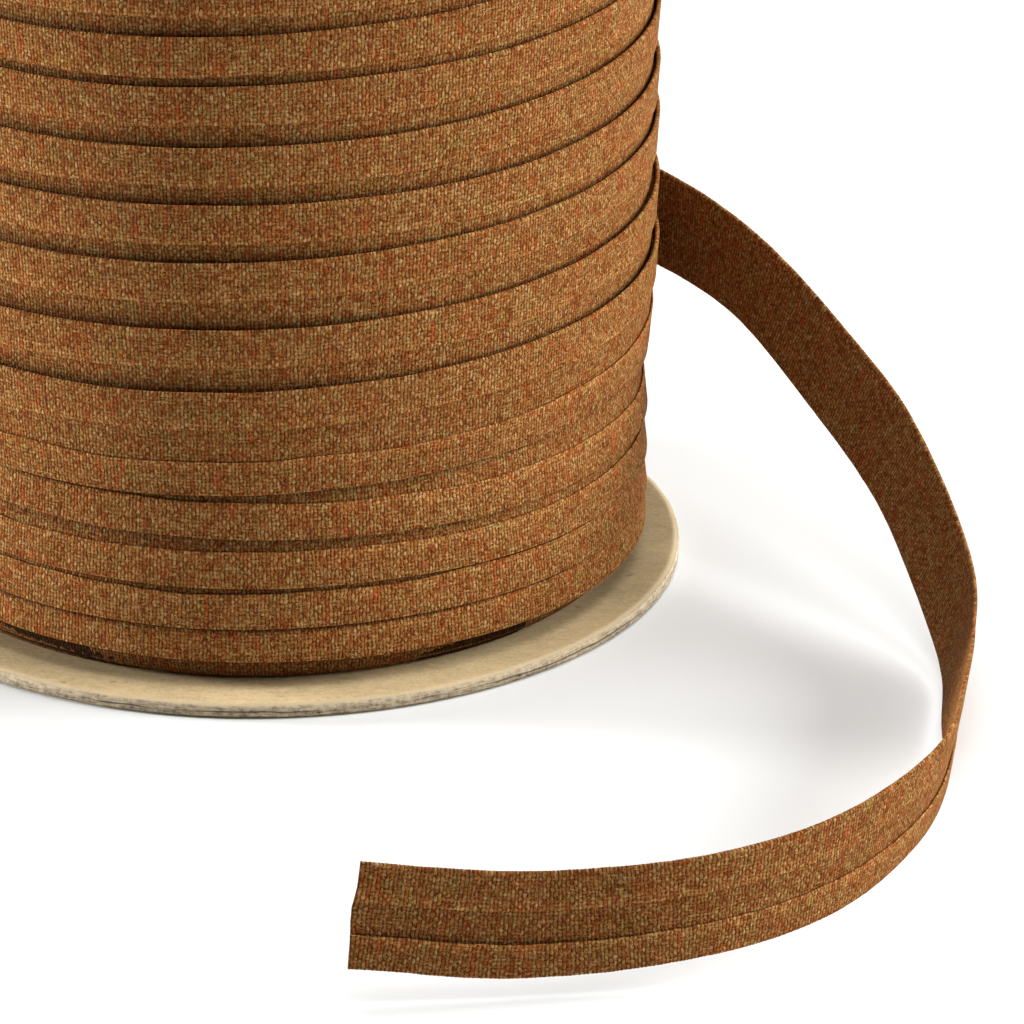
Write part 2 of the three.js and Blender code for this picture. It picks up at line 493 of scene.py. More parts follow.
def tape_section(tape):
    """The folded cloth's cross-section, as arrays: x outwards, y up across the tape, v along the cloth.
    A middle line runs down the upper flap, round the fold, along the back, round the lower fold and up
    the lower flap. Each side of the cloth lies half a thickness from it. flap and fold are weights: flap
    is 1 at a raw edge and 0 at the fold, and fold is 1 or -1 at the crest of a fold. inside is 1 on the
    side of the cloth that faces the folded tape's own recess."""
    half = tape.width / 2
    bend = (tape.cloth + tape.fold_gap) / 2
    turn = np.linspace(0, np.pi, FOLD_POINTS)
    reach = half - bend
    parts = []
    for side, flap_width in ((1, tape.upper_flap), (-1, tape.lower_flap)):
        length = flap_width - bend
        along = np.array([0, RAW_EDGE_CORNER * MM] + [share * length for share in FLAP_POINTS])
        even = np.ones_like(along)
        y = side * (half - flap_width + along)
        weight = side * (1 - along / length)
        flap = np.stack([even * bend, y, even, even * 0, weight, even * 0], 1)
        up = side * np.sin(turn)
        fold = np.stack([bend * np.cos(turn), side * reach + bend * up, np.cos(turn), up, up * 0, up], 1)
        parts.append(np.concatenate([flap, fold]))
    back = np.linspace(reach, -reach, BACK_POINTS + 2)[1:-1]
    even = np.ones_like(back)
    middle = np.stack([-bend * even, back, -even, even * 0, even * 0, even * 0], 1)
    x, y, nx, ny, flap, fold = np.concatenate([parts[0], middle, parts[1][::-1]]).T
    v = np.concatenate([[0], np.cumsum(np.hypot(np.diff(x), np.diff(y)))])
    thick = np.full(len(x), tape.cloth / 2)
    thick[[0, -1]] *= RAW_EDGE_THICKNESS
    outer = np.stack([x + nx * thick, y + ny * thick, v, flap, fold], 1)
    inner = np.stack([x - nx * thick, y - ny * thick, v, flap, fold * 0], 1)
    both = np.concatenate([outer, inner[::-1]])
    section = dict(zip(("x", "y", "v", "flap", "fold"), both.T))
    section["inside"] = np.repeat([0.0, 1.0], len(x))
    return section


def swept_tape(name, points, along, section, from_edge, painted_light):
    """A closed tape from a grid of points, rows along it and the section's points across, with its two
    cut ends closed between the cloth's two sides. The thread map holds the place along and across. The
    marks are from_edge, the distance from an edge that lies over the tape, for the painted shade beside it,
    1 inside the fold, and the share by which painted light makes the cloth paler or darker. A painted
    highlight makes folds and raw edges a little paler than the rest."""
    rows, across = points.shape[:2]
    index = np.arange(rows * across).reshape(rows, across)
    after = np.roll(index, -1, axis=1)
    sides = np.stack([index[:-1], after[:-1], after[1:], index[1:]], -1).reshape(-1, 4)
    one_side = across // 2
    k = np.arange(one_side - 1)
    opposite = across - 1 - k
    first = np.stack([index[0][k], index[0][opposite], index[0][opposite - 1], index[0][k + 1]], 1)
    last = np.stack([index[-1][k], index[-1][k + 1], index[-1][opposite - 1], index[-1][opposite]], 1)
    faces = np.concatenate([sides, first, last])
    place = np.stack(np.broadcast_arrays(along[:, None], section["v"][None, :]), -1).reshape(-1, 2)
    # Painted highlight: folds and raw edges are coloured paler.
    crest = CREST_PAINTED_HIGHLIGHT * np.maximum(np.abs(section["fold"]) ** 3, np.abs(section["flap"]) ** 8)
    kinds = np.broadcast_arrays(from_edge, section["inside"][None, :], painted_light + crest[None, :])
    marks = np.broadcast_to(np.stack(kinds, -1), (rows, across, 3)).reshape(-1, 3)
    return put_mesh(name, points.reshape(-1, 3), [faces], place[faces.ravel()], marks)


def drawn_in(height, winding):
    """How far the winding draws in at a height: a quarter of an ellipse beside each board, 0 elsewhere."""
    from_end = np.minimum(height - BOARD_HIGH.z, TOP_BOARD_LOW.z - height)
    drawn = np.clip(1 - from_end / winding.end_height, 0, 1)
    return winding.end_draw * (1 - np.sqrt(1 - drawn**2))


def wound_points(angles, top, radius_top, radius_low, section, tape, winding, seed):
    """Points of a tape wound on the roll. At an angle, the section's point (x, y) has the height of the
    tape's middle plus y, and the radius of a cone that slopes from the tape's top edge to its lower edge,
    plus x. Near a board a quarter of an ellipse draws the radius in."""
    place = angles / 360 * 2 * math.pi * winding.outer_radius
    wave = waves(place, WOUND_HEIGHT, seed)
    raw_edge = waves(place, WOUND_RAW_EDGE, seed + 2)
    lift = FLAP_LIFT * MM + waves(place, WOUND_LIFT, seed + 4)
    swell = waves(place, WOUND_SWELL, seed + 5)
    flap = np.abs(section["flap"])
    y = section["y"] + raw_edge[:, None] * np.sign(section["flap"]) * flap**2
    height = (top + wave)[:, None] - tape.width / 2 + y
    share = 0.5 + y / tape.width
    outside = radius_low[:, None] + (radius_top - radius_low)[:, None] * share
    thickness = 2 * tape.cloth + tape.fold_gap
    radius = outside - thickness / 2 + section["x"] + lift[:, None] * flap**3 + swell[:, None]
    radius -= drawn_in(height, winding)
    turned = np.radians(angles)[:, None]
    return np.stack([radius * np.sin(turned), -radius * np.cos(turned), height], -1)


def shallow_on_right(angles, growth):
    """Grows from 1 by growth on the right of the front and falls back to 1 behind it."""
    turned = (angles + 180) % 360 - 180
    return 1 + growth * (smooth_step(turned, *SHALLOW_RISING) - smooth_step(turned, *SHALLOW_FALLING))


def turn_table(turns, left, right):
    """The angles and heights of a table of turns, in the order of the angles."""
    angles = [360 * row["turn"] + side for row in turns for side in (left, right)]
    heights = [row[key] for row in turns for key in ("left", "right")]
    return angles, heights


class Wire:
    """A node's output. Arithmetic on it adds Math nodes."""

    def __init__(self, finish, socket):
        self.finish = finish
        self.socket = socket

    def maths(self, operation, *values):
        return self.finish.node("ShaderNodeMath", {"operation": operation}, dict(enumerate(values)))

    def __add__(self, other):
        return self.maths("ADD", self, other)

    def __radd__(self, other):
        return self.maths("ADD", other, self)

    def __sub__(self, other):
        return self.maths("SUBTRACT", self, other)

    def __rsub__(self, other):
        return self.maths("SUBTRACT", other, self)

    def __mul__(self, other):
        return self.maths("MULTIPLY", self, other)

    def __rmul__(self, other):
        return self.maths("MULTIPLY", other, self)

    def __truediv__(self, other):
        return self.maths("DIVIDE", self, other)

    def __gt__(self, other):
        return self.maths("GREATER_THAN", self, other)


class Finish:
    """A material in the making. Its nodes come from one method."""

    def __init__(self, name):
        self.material = bpy.data.materials.new(name)
        self.material.use_nodes = True
        self.nodes = self.material.node_tree.nodes
        self.links = self.material.node_tree.links
        self.shader = self.nodes["Principled BSDF"]

    def node(self, kind, settings, sockets, output=0):
        """Adds a node, sets it, and fills its sockets with values or links."""
        made = self.nodes.new(kind)
        for key, value in settings.items():
            if key == "stops":
                ramp = made.color_ramp.elements
                while len(ramp) < len(value):
                    ramp.new(1.0)
                for stop, (place, colour) in zip(ramp, value):
                    stop.position = place
                    stop.color = (*colour, 1)
            else:
                setattr(made, key, value)
        for key, value in sockets.items():
            if isinstance(value, Wire):
                self.links.new(value.socket, made.inputs[key])
            else:
                made.inputs[key].default_value = value
        return Wire(self, made.outputs[output])

    def noise(self, vector, scale, detail=2.0, rough=0.5, output=0):
        settings = {"noise_dimensions": "3D"}
        sockets = {"Vector": vector, "Scale": scale, "Detail": detail, "Roughness": rough}
        return self.node("ShaderNodeTexNoise", settings, sockets, output)

    def random(self, x, y):
        place = self.node("ShaderNodeCombineXYZ", {}, {"X": x, "Y": y})
        return self.node("ShaderNodeTexWhiteNoise", {"noise_dimensions": "2D"}, {"Vector": place})

    def vector(self, x, y, z=0.0):
        return self.node("ShaderNodeCombineXYZ", {}, {"X": x, "Y": y, "Z": z})

    def part(self, vector, axis):
        return self.node("ShaderNodeSeparateXYZ", {}, {"Vector": vector}, axis)

    def ramp(self, value, stops):
        return self.node("ShaderNodeValToRGB", {"stops": stops}, {"Fac": value})

    def step(self, value, low, high):
        settings = {"interpolation_type": "SMOOTHSTEP"}
        sockets = {"Value": value, "From Min": low, "From Max": high}
        return self.node("ShaderNodeMapRange", settings, sockets)

    def mix(self, share, first, second, blend="MIX"):
        first = (*first, 1) if isinstance(first, tuple) else first
        second = (*second, 1) if isinstance(second, tuple) else second
        settings = {"data_type": "RGBA", "blend_type": blend}
        return self.node("ShaderNodeMix", settings, {0: share, 6: first, 7: second}, 2)

    def give(self, colour, roughness, height, distance, strength=1.0):
        """Feeds the shader its colour, its roughness and a bump."""
        sockets = {"Height": height, "Distance": distance, "Strength": strength}
        bump = self.node("ShaderNodeBump", {}, sockets)
        self.links.new(colour.socket, self.shader.inputs["Base Color"])
        self.links.new(bump.socket, self.shader.inputs["Normal"])
        self.shader.inputs["Roughness"].default_value = roughness


def thread_height(thread, wave, cell, beside):
    """Height of a thread: its middle height, plus its rise times the wave, less a random share of the
    cell, less its roundness times the square of the distance beside its middle line."""
    on_middle_line = thread["height"] + wave * thread["rise"] - cell * thread["uneven"]
    return on_middle_line - beside * beside * thread["round"]


def edge_shade(finish, from_edge, cloth):
    """Painted shade: a share of the colour that grows from its least to its most, as an S-curve of the
    distance from an edge that lies over the cloth."""
    grown = finish.step(from_edge, cloth["near"] * MM, cloth["far"] * MM)
    return grown * (cloth["most"] - cloth["least"]) + cloth["least"]


def weave_material(tape):
    """Plain weave in heathered yarns on the thread map. A cell is one weft thread by one warp thread. In
    each cell one of the two crosses on top: a thread's height is a rounded profile across it, times a
    cosine along it that has the opposite sign in the next cell. A random share of each cell and a fuzz of
    loose fibres make the heights uneven. Each thread takes its tone from a noise that is stretched along
    it. Painted shade darkens the colour in the low hollows between threads and near the edge of a covering
    turn. The marks also carry a painted highlight on folds and raw edges, and painted shade on the loose
    end and the lowest turns."""
    finish = Finish("tape cloth")
    place = finish.node("ShaderNodeUVMap", {"uv_map": THREAD_MAP}, {})
    along = finish.part(place, 0)
    across = finish.part(place, 1)
    wander = finish.noise(place, WANDER["scale"], 2.0, 0.6, output=1)
    u = along / tape.weft_pitch + (finish.part(wander, 0) - 0.5) * WANDER["along"]
    v = across / tape.warp_pitch + (finish.part(wander, 1) - 0.5) * WANDER["across"]
    column = u.maths("FLOOR", u)
    row = v.maths("FLOOR", v)
    in_column = u - column - 0.5
    in_row = v - row - 0.5
    cell = finish.random(column, row)
    other_cell = finish.random(row + 0.5, column)
    warp_wave = u.maths("COSINE", (u - 0.5 + row) * math.pi)
    weft_wave = u.maths("COSINE", (v - 0.5 + column) * math.pi) * -1
    warp_height = thread_height(WARP, warp_wave, other_cell, in_row)
    weft_height = thread_height(WEFT, weft_wave, cell, in_column)
    weft_shows = weft_height > warp_height
    fibres_along = u * (weft_shows * FIBRES_TURN + FIBRES_ALONG)
    fibres_across = v * (FIBRES_ACROSS - weft_shows * FIBRES_TURN)
    fuzz = finish.noise(finish.vector(fibres_along, fibres_across, 4.5), 1.0, 1.0, 0.7)
    top = u.maths("MAXIMUM", warp_height, weft_height) + (fuzz - 0.5) * FUZZ
    warp_yarn = finish.noise(finish.vector(u * 0.5, row * 7.3, 1.5), 1.0, 1.0, 0.7)
    weft_yarn = finish.noise(finish.vector(column * 5.9, v * 0.42, 8.5), 1.0, 1.0, 0.7)
    yarn = finish.node("ShaderNodeMix", {}, {0: weft_shows, 2: warp_yarn, 3: weft_yarn})
    tone = (yarn - 0.5) * TONE["yarn"] + (cell - 0.5) * TONE["cell"] + (fuzz - 0.5) * TONE["fuzz"] + 0.5
    colour = finish.ramp(tone, [(stop["tone"], tuple(getattr(tape, stop["yarn"]))) for stop in YARNS])
    patch = finish.noise(place, 170.0, 2.0, 0.6)
    colour = finish.mix(finish.step(patch, 0.52, 0.72), colour, GREEN_CAST, "MULTIPLY")
    colour = finish.mix(finish.step(patch, 0.48, 0.3), colour, RED_CAST, "MULTIPLY")
    slub = finish.noise(finish.vector(column * 0.6, v * 0.08, 30.0), 1.0, 1.0, 0.4)
    slub_here = finish.step(slub, 0.66, 0.76) * (weft_shows * 0.5 + 0.3)
    colour = finish.mix(slub_here, colour, SLUB_COLOUR)
    # Painted shade: the colour darkens towards the gap colour where the threads lie low.
    colour = finish.mix(finish.step(top, -0.25, 0.85), tuple(tape.gap), colour)
    # Painted shade: the marks darken the colour near an edge that covers the cloth, and their third number
    # paints it paler or darker.
    marks = finish.node("ShaderNodeAttribute", {"attribute_name": MARKS}, {}, 1)
    from_edge = finish.part(marks, 0)
    inside = finish.part(marks, 1)
    open_shade = edge_shade(finish, from_edge, OPEN_CLOTH_PAINTED_SHADE)
    recess_shade = edge_shade(finish, from_edge, RECESS_CLOTH_PAINTED_SHADE)
    shade = open_shade + (recess_shade - open_shade) * inside
    colour = finish.mix(1.0, colour, shade * (finish.part(marks, 2) + 1), "MULTIPLY")
    finish.give(colour, 0.92, top, 0.2 * MM, 0.8)
    finish.shader.inputs["Specular IOR Level"].default_value = 0.04
    return finish.material


def inner_material(tape):
    """Cloth of the inner turns, which lie deep in the gaps: a mottled brown on Object coordinates, painted
    dark as painted shade.
    """
    finish = Finish("inner cloth")
    place = finish.node("ShaderNodeTexCoord", {}, {}, 3)
    grain = finish.noise(place, 1500.0, 3.0, 0.7)
    colour = finish.ramp(grain, [(0.3, tuple(tape.gap)), (0.7, tuple(tape.ochre))])
    # Painted shade: the inner cloth is darkened towards the gap colour.
    colour = finish.mix(0.45, colour, tuple(tape.gap))
    finish.give(colour, 0.95, grain, 0.2 * MM)
    return finish.material


def board_material(name, board, underside):
    """Chipboard. Distance from the spool's axis places three looks: a tan face with fibres and specks, a
    pale worn rim, and a cut edge of rough grey-brown layers. Painted light makes the face paler towards the
    front left and darker towards the back right. The edge has a split in its middle and a painted contact
    shadow, a dark line at its foot, placed by the height above the underside."""
    finish = Finish(name)
    place = finish.node("ShaderNodeTexCoord", {}, {}, 3)
    x = finish.part(place, 0)
    y = finish.part(place, 1)
    z = finish.part(place, 2)
    radius = x.maths("SQRT", x * x + y * y)
    height = z - underside
    blotch = finish.noise(place, 90.0, 4.0, 0.6)
    fine = finish.noise(place, 1700.0, 3.0, 0.7)
    fibres = finish.noise(finish.vector(x * 0.6, y * 1.5, z), 900.0, 3.0, 0.65)
    waver = (finish.noise(place, 160.0, 3.0) - 0.5) * 0.9 * MM

    pale = tuple(min(1.0, c * 1.28) for c in board.face)
    dark = tuple(c * 0.66 for c in board.face)
    grain = blotch * 0.3 + fibres * 0.35 + fine * 0.35
    face = finish.ramp(grain, [(0.32, dark), (0.5, tuple(board.face)), (0.68, pale)])
    speck = finish.step(finish.noise(place, 420.0, 1.0), 0.72, 0.8)
    face = finish.mix(speck * 0.45, face, SPECK_COLOUR)
    to_lit_side = (x * LIT_SIDE[0] + y * LIT_SIDE[1]) / board.radius
    # Painted light: the face is coloured paler towards the front left and darker towards the back right.
    face = finish.mix(1.0, face, finish.step(to_lit_side, -0.9, 1.0) * 0.76 + 0.72, "MULTIPLY")

    layers = finish.noise(finish.vector(x * 0.25, y * 0.25, z * 2.2), 1300.0, 4.0, 0.7)
    rough = finish.noise(place, 900.0, 4.0, 0.75)
    torn = layers * 0.5 + rough * 0.5 + finish.step(height + waver, 0.8 * MM, 2.2 * MM) * 0.07
    cut = finish.ramp(torn, [(0.37, TORN_DARK), (0.47, tuple(board.edge)), (0.62, TORN_PALE)])
    from_split = x.maths("ABSOLUTE", height + waver * 0.8 - 1.25 * MM)
    split_here = finish.step(finish.noise(place, 45.0, 1.0), 0.48, 0.58)
    split = finish.step(from_split, 0.26 * MM, 0.06 * MM) * split_here

    outside = finish.step(radius + waver * 0.25, board.radius - 0.7 * MM, board.radius - 0.3 * MM)
    worn = finish.step(radius + waver * 0.5, board.radius - 1.8 * MM, board.radius - 0.9 * MM)
    above_foot_shadow = finish.step(height + waver * 0.5, 0.15 * MM, 0.55 * MM)
    colour = finish.mix(outside, finish.mix(worn * 0.6, face, WORN_COLOUR), cut)
    colour = finish.mix(split * outside * 0.8, colour, SPLIT_COLOUR)
    # Painted shadow: a dark line along the foot of the cut edge.
    colour = finish.mix((1 - above_foot_shadow) * outside, colour, FOOT_PAINTED_SHADOW)
    bump = fine * 0.35 + fibres * 0.3 + outside * (layers + rough) * 1.2
    finish.give(colour, 0.88, bump, 0.16 * MM, 0.8)
    finish.shader.inputs["Specular IOR Level"].default_value = 0.25
    return finish.material


def flat_material(name, colour):
    """An even matt colour, for the floor."""
    finish = Finish(name)
    finish.shader.inputs["Base Color"].default_value = (*colour, 1)
    finish.shader.inputs["Roughness"].default_value = 0.9
    finish.shader.inputs["Specular IOR Level"].default_value = 0.1
    return finish.material


def soft_light(row, strength):
    """A wide far light that shines evenly on the whole floor."""
    data = bpy.data.lights.new(row["name"], "SUN")
    data.angle = math.radians(row["spread"])
    data.energy = strength
    light = bpy.data.objects.new(row["name"], data)
    light.rotation_euler = (0, math.radians(90 - row["height"]), math.radians(row["angle"] - 90))
    bpy.context.scene.collection.objects.link(light)


class TAPE_OT_stage(bpy.types.Operator):
    """Sets up the camera, the floor and the soft lights"""

    bl_idname = "tape_roll.stage"
    bl_label = "Stage"

    def execute(self, context):
        stage = context.scene.tape_stage
        scene = context.scene
        lens = bpy.data.cameras.new("camera")
        lens.lens = CAMERA_LENS
        lens.sensor_width = CAMERA_SENSOR
        lens.clip_start = 0.05
        lens.clip_end = 20.0
        camera = bpy.data.objects.new("camera", lens)
        camera.location = CAMERA_PLACE
        camera.rotation_euler = (math.radians(90 - CAMERA_DOWN), 0, 0)
        scene.collection.objects.link(camera)
        scene.camera = camera
        scene.view_settings.view_transform = "Standard"
        drop = -FLOOR_DROP * MM
        corners = [(x * FLOOR_REACH, y * FLOOR_REACH, drop) for x, y in ((-1, -1), (1, -1), (1, 1), (-1, 1))]
        mesh = bpy.data.meshes.new("floor")
        mesh.from_pydata(corners, [], [(0, 1, 2, 3)])
        floor = bpy.data.objects.new("floor", mesh)
        mesh.materials.append(flat_material("floor", stage.floor))
        scene.collection.objects.link(floor)
        for row in SOFT_LIGHTS:
            soft_light(row, getattr(stage, row["strength"]))
        world = bpy.data.worlds.new("sky")
        world.use_nodes = True
        world.node_tree.nodes["Background"].inputs["Color"].default_value = (1, 1, 1, 1)
        world.node_tree.nodes["Background"].inputs["Strength"].default_value = stage.sky
        scene.world = world
        return {"FINISHED"}


def route_points(count):
    """The loose end's middle line and lean at evenly spaced places: a centripetal Catmull-Rom curve
    through the seat and the free route for the line, and a plain one for the lean, in metres."""
    seat = np.radians(SEAT_ANGLES)
    level = np.full(len(seat), SEAT_HEIGHT)
    on_roll = np.stack([SEAT_RADIUS * np.sin(seat), -SEAT_RADIUS * np.cos(seat), level], 1)
    free = np.array([[row["x"], row["y"], row["z"]] for row in FREE_ROUTE], float)
    knots = np.concatenate([on_roll, free])
    leans = np.array([0] * len(seat) + [row["lean"] for row in FREE_ROUTE], float)
    ends = np.vstack([2 * knots[0] - knots[1], knots, 2 * knots[-1] - knots[-2]])
    at = np.linspace(0, len(knots) - 1, 20 * count)
    i = np.minimum(at.astype(int), len(knots) - 2)
    w = (at - i)[:, None]
    p0, p1, p2, p3 = ends[i], ends[i + 1], ends[i + 2], ends[i + 3]
    chords = (p1 - p0, p2 - p1, p3 - p2)
    d0, d1, d2 = (np.sqrt(np.linalg.norm(chord, axis=1, keepdims=True)) for chord in chords)
    t1 = ((p1 - p0) / d0 - (p2 - p0) / (d0 + d1) + (p2 - p1) / d1) * d1
    t2 = ((p2 - p1) / d1 - (p3 - p1) / (d1 + d2) + (p3 - p2) / d2) * d1
    line = p1 + t1 * w + (3 * (p2 - p1) - 2 * t1 - t2) * w**2 + (2 * (p1 - p2) + t1 + t2) * w**3
    lean = smooth_curve(at, np.arange(len(knots)), leans)
    length = np.concatenate([[0], np.cumsum(np.linalg.norm(np.diff(line, axis=0), axis=1))])
    even = np.linspace(0, length[-1], count)
    middle = np.stack([np.interp(even, length, line[:, axis]) for axis in range(3)], 1)
    return middle * MM, np.radians(np.interp(even, length, lean)), even * MM


def loose_shape(section, along, tape):
    """The loose end's section at each place along it, as x, y and a shift along the tape. Each raw edge
    wavers, each flap stands off a little, and the lower one opens near the cut end. Weft threads make
    knobs on the folds, and the cut end is stepped and frayed over its last 3 mm."""
    to_end = along[-1] - along
    flap = np.abs(section["flap"])
    lower = section["flap"] < 0
    raw_edge = waves(along, LOOSE_RAW_EDGE, 21)
    lift = FLAP_LIFT * MM + waves(along, LOOSE_LIFT, 23)
    closed = smooth_step(to_end, SLIT["closing"] * MM, SLIT["closed"] * MM)
    uneven = 1 + SLIT["uneven"] * unevenness(along, SLIT["spacing"] * MM, 24)
    at_end = smooth_step(to_end, -1 * MM, 4 * MM) * 0.5 + 0.5
    open_slit = SLIT["open"] * MM * (1 - closed) * uneven * at_end
    thread = along / tape.weft_pitch
    knobs = 0.5 + 0.5 * np.cos(2 * np.pi * thread)
    knobs *= 1 - KNOB_CHANGE + KNOB_CHANGE * np.cos(np.pi * thread)
    y = section["y"][None, :] + raw_edge[:, None] * np.sign(section["flap"]) * flap**2
    y = y + (KNOB * MM * knobs + waves(along, LOOSE_FOLD, 25))[:, None] * section["fold"]
    x = section["x"][None, :] + lift[:, None] * flap**3 + open_slit[:, None] * lower * flap**2
    across = [row["across"] * MM for row in CUT_END]
    cut = np.interp(section["y"], across, [row["out"] * MM for row in CUT_END])
    frayed = waves(section["v"] + 1.0, FRAYED_END, 27)
    shift = (cut + frayed)[None, :] * (1 - smooth_step(to_end, 0, 3 * MM))[:, None]
    return x, y, shift


class TAPE_OT_loose_end(bpy.types.Operator):
    """Lays out the loose end, a sheet with both raw edges folded in"""

    bl_idname = "tape_roll.loose_end"
    bl_label = "Loose end"

    def execute(self, context):
        tape = context.scene.tape_tape
        section = tape_section(tape)
        middle, lean, along = route_points(LOOSE_ROWS)
        forward = np.gradient(middle, along, axis=0)
        forward /= np.linalg.norm(forward, axis=1, keepdims=True)
        inward = np.cross(forward, (0, 0, 1.0))
        inward /= np.linalg.norm(inward, axis=1, keepdims=True)
        level = np.cross(inward, forward)
        across = level * np.cos(lean)[:, None] + np.cross(forward, level) * np.sin(lean)[:, None]
        outward = np.cross(across, forward)
        x, y, shift = loose_shape(section, along, tape)
        points = middle[:, None] + outward[:, None] * x[..., None] + across[:, None] * y[..., None]
        points = points + forward[:, None] * shift[..., None]
        length = along[-1]
        # Painted shade: the loose end's colour is darker, and darker still near the cut end.
        near_cut_end = 1 - smooth_step(length - along, 0, CUT_END_LENGTH * MM)
        painted_light = -LOOSE_END_PAINTED_SHADE - CUT_END_PAINTED_SHADE * near_cut_end
        piece = swept_tape("loose_tape", points, along, section, NO_EDGE, painted_light[:, None])
        finish_piece(piece, weave_material(tape), "tape", "loose_end")
        return {"FINISHED"}


def last_turn_low(at, top, tape):
    """Lower edge of the last outer turn at each whole angle from behind the roll round to behind it."""
    return np.interp(ALL_ROUND, at[::-1], top[::-1]) - tape.width


def outer_tape(tape, winding):
    """The outer tape from the first turn down to the last. The next turn covers each turn from below, up
    to its own top edge. Gives the last turn's lower edge."""
    section = tape_section(tape)
    angles, heights = turn_table(OUTER_TURNS, OUTER_LEFT, OUTER_RIGHT)
    angles = [row["angle"] for row in LAST_TURN_END] + angles + [row["angle"] for row in FIRST_TURN_START]
    last = [row["height"] for row in LAST_TURN_END]
    first = [row["height"] for row in FIRST_TURN_START]
    at = np.linspace(angles[-1], angles[0], OUTER_ROWS)
    top = smooth_curve(at, angles, last + heights + first) * MM
    slope = tape.width * winding.turn_slope
    out = LAST_TURN_OUT * MM
    depth = FIRST_TURN_IN * MM * smooth_step(at, *FIRST_TURN_FROM)
    radius_top = winding.outer_radius - depth + out * smooth_step(-at, *LAST_TURN_RISING)
    radius_low = winding.outer_radius - depth - slope + (out + slope) * smooth_step(-at, *LAST_TURN_UPRIGHT)
    points = wound_points(at, top, radius_top, radius_low, section, tape, winding, 40)
    along = np.radians(at[0] - at) * winding.outer_radius
    # Painted shade: from_edge is the height above the top edge of the next turn, which covers this one.
    covered_by = np.interp(at - 360, at[::-1], top[::-1], left=-NO_EDGE)
    from_edge = (points[..., 2] - covered_by[:, None]) * shallow_on_right(at, OUTER_SHALLOW)[:, None]
    piece = swept_tape("outer_tape", points, along, section, from_edge, 0.0)
    finish_piece(piece, bpy.data.materials["tape cloth"], "tape")
    return last_turn_low(at, top, tape)


def under_tape(tape, winding, last_low):
    """The under tape from its hidden top turn down to the lower board. It is covered from above: by its
    own turn one round earlier or by the last outer turn, whichever reaches lower."""
    section = tape_section(tape)
    angles, heights = turn_table(UNDER_TURNS, UNDER_LEFT, UNDER_RIGHT)
    at = np.linspace(angles[0], angles[-1], UNDER_ROWS)
    low = smooth_curve(at, angles, heights) * MM
    lowest_turns = smooth_step(at, *LOWEST_TURNS_FROM)
    radius_low = winding.under_radius - LOWEST_TURNS_IN * MM * lowest_turns
    radius_top = radius_low - winding.under_slope * tape.width
    points = wound_points(at, low + tape.width, radius_top, radius_low, section, tape, winding, 60)
    along = np.radians(at - at[0]) * winding.under_radius
    # Painted shade: from_edge is the depth below the lower edge that covers this turn.
    covered_by = np.interp(at - 360, at, low, left=NO_EDGE)
    covered_by = np.minimum(covered_by, np.interp((at + 180) % 360 - 180, ALL_ROUND, last_low))
    from_edge = (covered_by[:, None] - points[..., 2]) * shallow_on_right(at, UNDER_SHALLOW)[:, None]
    # Painted shade: the lowest turns' colour is darker.
    painted_light = -LOWEST_TURNS_PAINTED_SHADE * lowest_turns[:, None]
    piece = swept_tape("under_tape", points, along, section, from_edge, painted_light)
    finish_piece(piece, bpy.data.materials["tape cloth"], "tape")


class TAPE_OT_winding(bpy.types.Operator):
    """Winds the inner drum of cloth, the under tape and the outer tape"""

    bl_idname = "tape_roll.winding"
    bl_label = "Winding"

    def execute(self, context):
        tape = context.scene.tape_tape
        winding = context.scene.tape_winding
        last_low = outer_tape(tape, winding)
        under_tape(tape, winding, last_low)
        inner = drum("inner_turns", winding, tape)
        finish_piece(inner, inner_material(tape), "tape", "winding")
        return {"FINISHED"}


def drum(name, winding, tape):
    """The inner turns as one closed drum: a cylinder's side between two flat ends, its radius a little
    inside the tapes wound on it and drawn in near the boards like them."""
    low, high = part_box("winding")
    heights = np.linspace(low.z, high.z, DRUM_ROWS)
    inside = 2 * tape.cloth + tape.fold_gap + DRUM_CLEARANCE * MM
    under = winding.under_radius - winding.under_slope * tape.width - inside
    outer = winding.outer_radius - winding.turn_slope * tape.width - inside
    radius = under + (outer - under) * smooth_step(heights, *(height * MM for height in DRUM_CHANGE))
    radius -= drawn_in(heights, winding)
    around = np.concatenate([[0], radius, [0]])[:, None]
    up = np.concatenate([[low.z], heights, [high.z]])[:, None]
    return lathe(name, around, up, DRUM_SEGMENTS)


def lathe(name, radius, height, segments):
    """A closed body turned about the Z axis. radius and height have a row for each point of the profile
    and one column or one for each segment. The first and last rows lie on the axis."""
    angle = np.linspace(0, 2 * np.pi, segments, endpoint=False)[None, :]
    radius, height, angle = np.broadcast_arrays(radius, height, angle)
    ring = np.stack([radius * np.sin(angle), -radius * np.cos(angle), height], -1)[1:-1]
    rows = len(ring)
    points = np.concatenate([ring.reshape(-1, 3), [[0, 0, height[0].mean()], [0, 0, height[-1].mean()]]])
    index = np.arange(rows * segments).reshape(rows, segments)
    after = np.roll(index, -1, axis=1)
    sides = np.stack([index[:-1], after[:-1], after[1:], index[1:]], -1).reshape(-1, 4)
    pole = np.full(segments, rows * segments)
    first = np.stack([pole, after[0], index[0]], 1)
    last = np.stack([pole + 1, index[-1], after[-1]], 1)
    return put_mesh(name, points, [sides, first, last])


